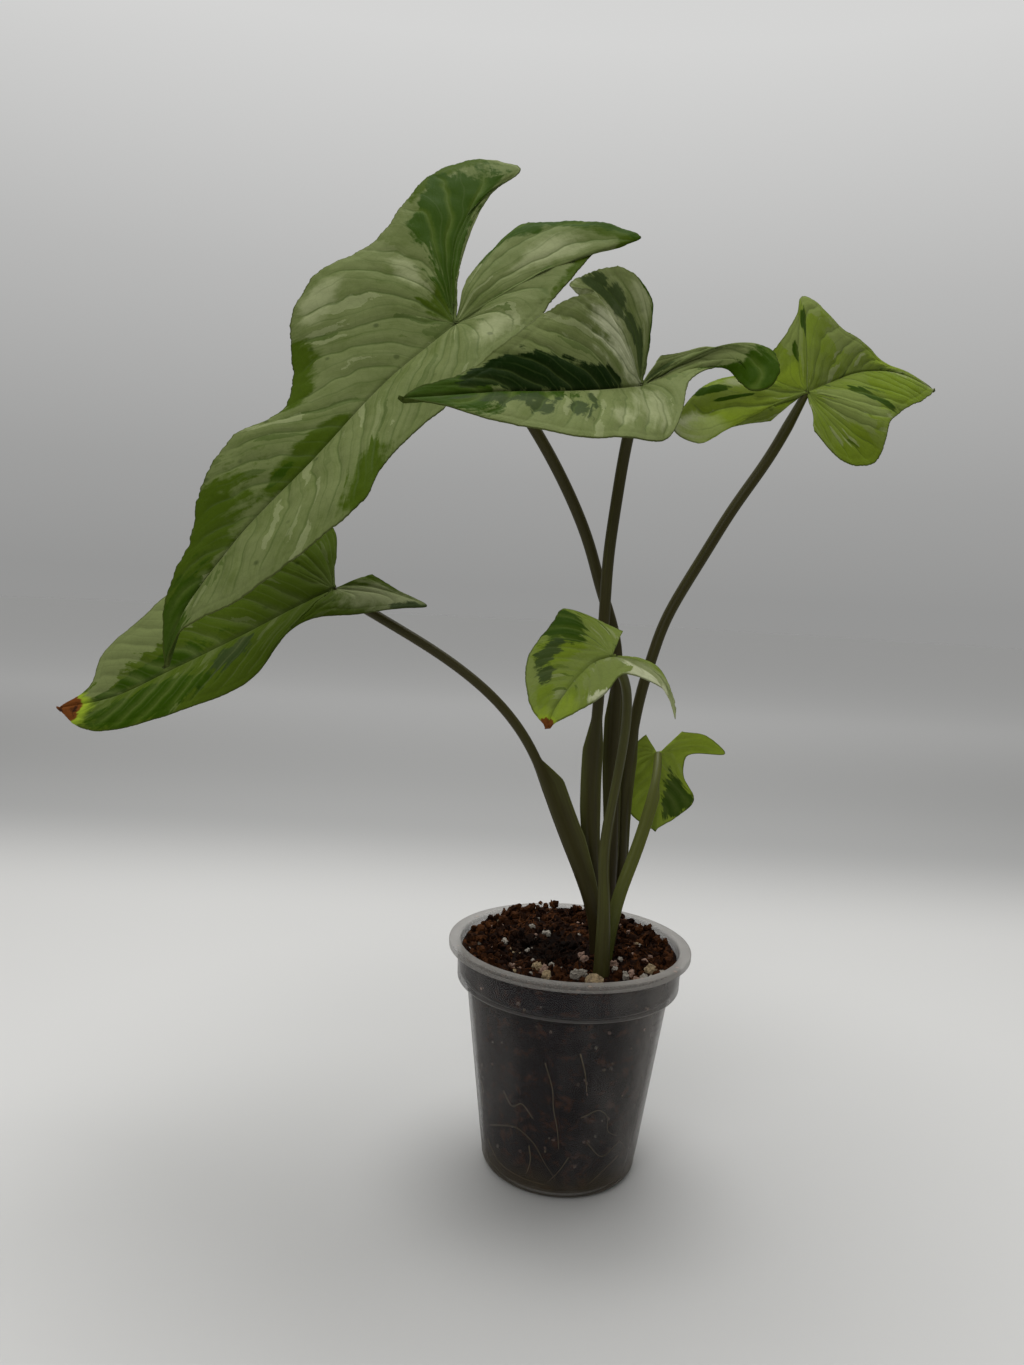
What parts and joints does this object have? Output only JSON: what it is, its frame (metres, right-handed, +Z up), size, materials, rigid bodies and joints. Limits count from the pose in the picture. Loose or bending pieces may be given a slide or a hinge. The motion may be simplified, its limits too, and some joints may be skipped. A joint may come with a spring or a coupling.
{
  "type": "potted arrowhead plant",
  "caption": "Young arrowhead plant with variegated arrow-shaped leaves on slim stalks, growing in soil in a clear plastic nursery pot; stands on a flat surface as indoor greenery",
  "frame": {"origin": "centre of the underside of the pot's base, on the surface it stands on", "axes": "+Z up; +X to the viewer's right in the picture; +Y away from the viewer"},
  "size_m": [0.301, 0.1782, 0.3327],
  "materials": {
    "clear_plastic": "thin clear plastic, slightly hazy",
    "potting_soil": "damp dark mix of coir and perlite",
    "leaf_stalk": "smooth brownish green, satin",
    "leaf_blade": "green patched with pale grey-green, satin"
  },
  "bodies": {
    "root": {"pot": "clear_plastic", "soil": "potting_soil", "stalk_top": "leaf_stalk", "stalk_middle": "leaf_stalk", "stalk_right": "leaf_stalk", "stalk_left": "leaf_stalk", "stalk_front": "leaf_stalk", "stalk_back": "leaf_stalk", "blade_top": "leaf_blade", "blade_middle": "leaf_blade", "blade_right": "leaf_blade", "blade_left": "leaf_blade", "blade_front": "leaf_blade", "blade_back": "leaf_blade"}
  },
  "joints": []
}
